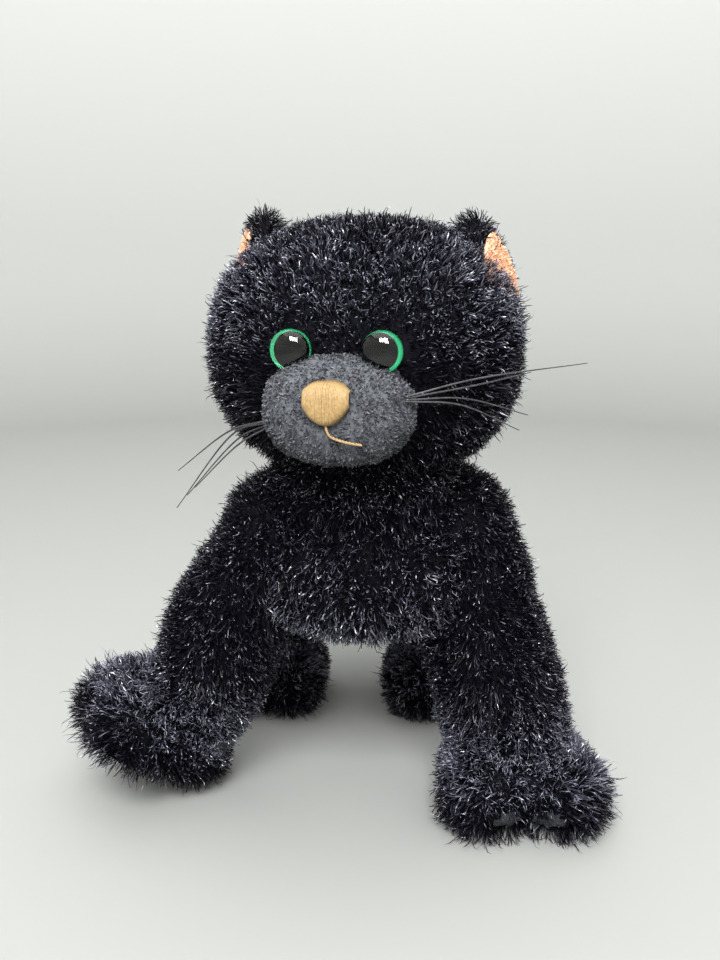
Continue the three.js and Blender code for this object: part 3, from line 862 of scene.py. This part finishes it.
def ear_pillow(scale, low, high, cup, rows=16, around=36):
    """A rounded-triangle pillow between two heights over the ear's plane, cupped towards its rim."""
    verts, faces = [], []
    for i in range(rows + 1):
        lat = math.pi * i / rows
        for k in range(around):
            a = 2 * math.pi * k / around
            x, y = math.cos(a), math.sin(a)
            narrow = 1 - 0.32 * max(y, 0) ** 1.5
            flat = math.sin(lat) ** 0.75
            px = EAR["width"] * scale * x * narrow * flat
            py = EAR["height"] * scale * y * flat
            rim = (px / EAR["width"]) ** 2 + (py / EAR["height"]) ** 2
            pz = (low + high) / 2 - math.cos(lat) * (high - low) / 2 + cup * rim
            verts.append((px, py, pz))
    for i in range(rows):
        for k in range(around):
            n = (k + 1) % around
            faces.append([i * around + k, i * around + n, (i + 1) * around + n, (i + 1) * around + k])
    return np.array(verts), faces


def build_ear(side, rng):
    """A black furry back and rim round a peach lining, which faces out to the side."""
    word = "left" if side > 0 else "right"
    pose = ear_frame(side)
    verts, faces = ear_pillow(1.0, -7.5, 0.2, 1.6)
    back = mesh_object(f"{word}_ear_skin", world(turned(in_frame(verts, pose))), faces, BACKING)
    verts, faces = ear_pillow(LINING, -0.6, 2.6, 1.6)
    verts[:, 1] -= LINING_DROP
    lining = mesh_object(f"{word}_ear_lining_skin", world(turned(in_frame(verts, pose))), faces, PEACH)
    inverse = np.linalg.inv(pose)
    facing = turned(in_frame([(0, 0, 1), (0, 0, 0)], pose))
    outward = unit(facing[0] - facing[1])

    def in_ear(points):
        return in_frame(to_head(points), inverse)

    def behind(root, normal):
        p = in_ear(root)
        across, up = p[:, 0] / EAR["width"], (p[:, 1] + LINING_DROP) / EAR["height"]
        inside = across ** 2 + up ** 2 < (LINING * 0.9) ** 2
        return np.where(inside & (normal @ outward > 0.1), 0.0, 1.0)

    def ear_length(root):
        return 5.0 + 2.4 * np.clip(-in_ear(root)[:, 2] / 5, 0, 1)

    def front_only(root, normal):
        return np.where((normal @ outward) > -0.2, 1.0, 0.0)

    def over_back(root, normal):
        return np.broadcast_to(outward * -0.45, normal.shape)

    fur = pile(f"{word}_ear_pile", back, rng, comb=over_back, length=ear_length, keep=behind, per_mm2=1.9)
    nap = pile(f"{word}_ear_fleece", lining, rng, length=1.5, keep=front_only, per_mm2=2.6, width=0.34,
               curl=0.8, guard=0, dull_below=0, slots=PEACH_LOOPS, share=(0.5, 0.5), tips=(0.2, 0.45, 0.35))
    stray = pile(f"{word}_ear_stray_hairs", lining, rng, length=6.5, keep=front_only, per_mm2=0.03,
                 width=0.3, loose=0.9, curl=1.2, tuft=0)
    return back, fur, stray, lining, nap


LEFT_WHISKERS = [
    [(20.6, -42.5, 160.6), (41, -32, 165.4), (70.8, -12, 168.4)],
    [(20.8, -42.2, 160.3), (39, -32.5, 163.2), (54.5, -19, 166.0)],
    [(20.9, -42.2, 159.8), (37, -33, 159.4), (54.2, -20, 153.3)],
    [(20.8, -42.4, 159.4), (36, -34, 157.6), (52, -23, 149.1)],
]
RIGHT_WHISKERS = [
    [(-20.6, -42, 152.4), (-36, -34.5, 147), (-55, -30, 133)],
    [(-20.4, -41, 151.8), (-36, -33, 145.2), (-57, -28, 120)],
    [(-20.2, -40.6, 151.2), (-35, -31, 143.5), (-54, -26, 124)],
    [(-20, -41.2, 150.6), (-33.6, -34, 142.5), (-49, -31, 128)],
]


def build_whiskers():
    made = {}
    for word, rows in (("left", LEFT_WHISKERS), ("right", RIGHT_WHISKERS)):
        for i, row in enumerate(rows, 1):
            name = f"{word}_whisker_{i}"
            made[name] = tube(name + "_bristle", turned(row), (0.30, 0.28, 0.14), BRISTLE, 8, 40)
    return made


# ---------------------------------------------------------------- stage, lights and camera

def paper_with_painted_light():
    """Plain paper with painted light: its colour grows paler up the wall than on the ground."""
    mat = principled("studio_paper_painted_light", (0.4, 0.4, 0.4), 0.75)
    nodes, links = mat.node_tree.nodes, mat.node_tree.links
    place = nodes.new("ShaderNodeTexCoord")
    split = nodes.new("ShaderNodeSeparateXYZ")
    ramp = nodes.new("ShaderNodeValToRGB")
    stops = ramp.color_ramp.elements
    for stop, tone in ((0.0, 0.295), (1.0, 0.63), (0.26, 0.48), (0.60, 0.55)):
        entry = stops[0] if stop == 0 else stops[-1] if stop == 1 else stops.new(stop)
        entry.color = (tone, tone * 1.015, tone * 0.98, 1)
    links.new(place.outputs["Object"], split.inputs[0])
    links.new(split.outputs["Z"], ramp.inputs[0])
    links.new(ramp.outputs[0], nodes["Principled BSDF"].inputs["Base Color"])
    return mat


STAGE = dict(middle=(0.0, 45.0), radius=1150.0, bend=260.0, height=1500.0)


def build_stage():
    """A round paper bowl: the same plain ground and wall are behind the cat from every side."""
    paper = paper_with_painted_light()
    radius, bend = STAGE["radius"], STAGE["bend"]
    profile = [(r, 0.0) for r in np.linspace(0.001, radius - bend, 6)]
    for a in np.linspace(0, math.pi / 2, 16)[1:]:
        profile.append((radius - bend + bend * math.sin(a), bend * (1 - math.cos(a))))
    profile.append((radius, STAGE["height"]))
    verts, faces = lathe([(r, -z) for r, z in profile], 96)
    x, y = STAGE["middle"]
    verts = np.stack([verts[:, 0] + x, verts[:, 2] + y, verts[:, 1]], axis=1)
    mesh_object("studio_bowl", world(verts), faces, paper)


def area_light(name, at, target, size, power, color=(1, 1, 1)):
    data = bpy.data.lights.new(name, "AREA")
    data.shape = "RECTANGLE"
    data.size, data.size_y = size[0] * MM, size[1] * MM
    data.energy = power
    data.color = color
    obj = bpy.data.objects.new(name, data)
    here, there = Vector(world(at)), Vector(world(target))
    obj.location = here
    obj.rotation_euler = (there - here).to_track_quat("-Z", "Y").to_euler()
    bpy.context.scene.collection.objects.link(obj)


def build_lights():
    middle = (0, 20, 100)
    area_light("key_softbox", (-60, -710, 770), middle, (520, 380), 18.5)
    area_light("top_softbox", (0, 45, 1400), (0, 45, 0), (1900, 1900), 30)
    air = bpy.data.worlds.new("studio_air")
    air.use_nodes = True
    air.node_tree.nodes["Background"].inputs[0].default_value = (0.95, 0.98, 1.0, 1)
    air.node_tree.nodes["Background"].inputs[1].default_value = 0.15
    bpy.context.scene.world = air


def build_camera():
    """From the front, a little above, close by."""
    eye, pitch, focal, frame_height = (0.0, -306.9, 195.0), 13.0, 900.0, 960.0
    data = bpy.data.cameras.new("camera")
    data.sensor_fit = "VERTICAL"
    data.sensor_height = 36.0
    data.lens = 36.0 * focal / frame_height
    data.clip_start = 0.01
    obj = bpy.data.objects.new("camera", data)
    obj.location = Vector(world(eye))
    obj.rotation_euler = (math.radians(90 - pitch), 0, 0)
    bpy.context.scene.collection.objects.link(obj)
    bpy.context.scene.camera = obj


# ---------------------------------------------------------------- put together

def own(piece, body, slot, *nodes):
    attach(piece, body)
    if nodes:
        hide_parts(*nodes)


def main():
    build_camera()
    build_stage()
    build_lights()
    skins = build_skins()
    furs = build_pile(skins)
    for body, skin in skins.items():
        own(skin, body, "black_plush")
        own(furs[body], body, "black_plush")
    hide = {
        "torso": ["torso_left_panel", "torso_right_panel", "chest_belly_panel", "torso_stuffing",
                  "belly_pellet_bag"],
        "neck": ["neck_stuffing"],
        "head": ["head_centre_gusset", "head_left_panel", "head_right_panel", "head_stuffing"],
        "tail": ["tail_cover", "tail_stuffing"],
    }
    for name in LEGS:
        hide[name + "_leg"] = [f"{name}_leg_outer_panel", f"{name}_leg_inner_panel", f"{name}_leg_stuffing",
                               f"{name}_paw_pellets"]
        if name.startswith("front"):
            hide[name + "_leg"].append(f"{name}_toe_stitch")
    for body, nodes in hide.items():
        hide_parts(*nodes)
    rng = np.random.default_rng(7)
    for name, (cloth, nap) in build_soles(skins, rng).items():
        own(cloth, name + "_leg", "grey_fleece", f"{name}_paw_sole")
        own(nap, name + "_leg", "grey_fleece")
    muzzle, loops = build_muzzle(rng)
    own(muzzle, "head", "grey_fleece", "muzzle_cover", "muzzle_stuffing")
    own(loops, "head", "grey_fleece")
    own(build_nose(), "head", "tan_thread", "nose_embroidery")
    own(build_mouth(), "head", "tan_thread", "mouth_stitch")
    for side, word in ((-1, "right"), (1, "left")):
        dome, iris, pupil = build_eye(side)
        own(dome, "head", "clear_dome", f"{word}_eye_dome")
        own(iris, "head", "green_iris", f"{word}_iris")
        own(pupil, "head", "pupil", f"{word}_pupil")
        back, back_pile, stray, lining, lining_pile = build_ear(side, rng)
        own(back, "head", "black_plush", f"{word}_ear_back")
        own(back_pile, "head", "black_plush")
        own(stray, "head", "black_plush")
        own(lining, "head", "peach_fleece", f"{word}_ear_lining")
        own(lining_pile, "head", "peach_fleece")
        for node in (f"{word}_eye_shank", f"{word}_eye_washer"):
            frame["nodes"][node].data.materials.clear()
            frame["nodes"][node].data.materials.append(SHANK)
    for node, bristle in build_whiskers().items():
        own(bristle, "head", "bristle", node)


main()
bpy.context.scene.view_settings.view_transform = "Standard"
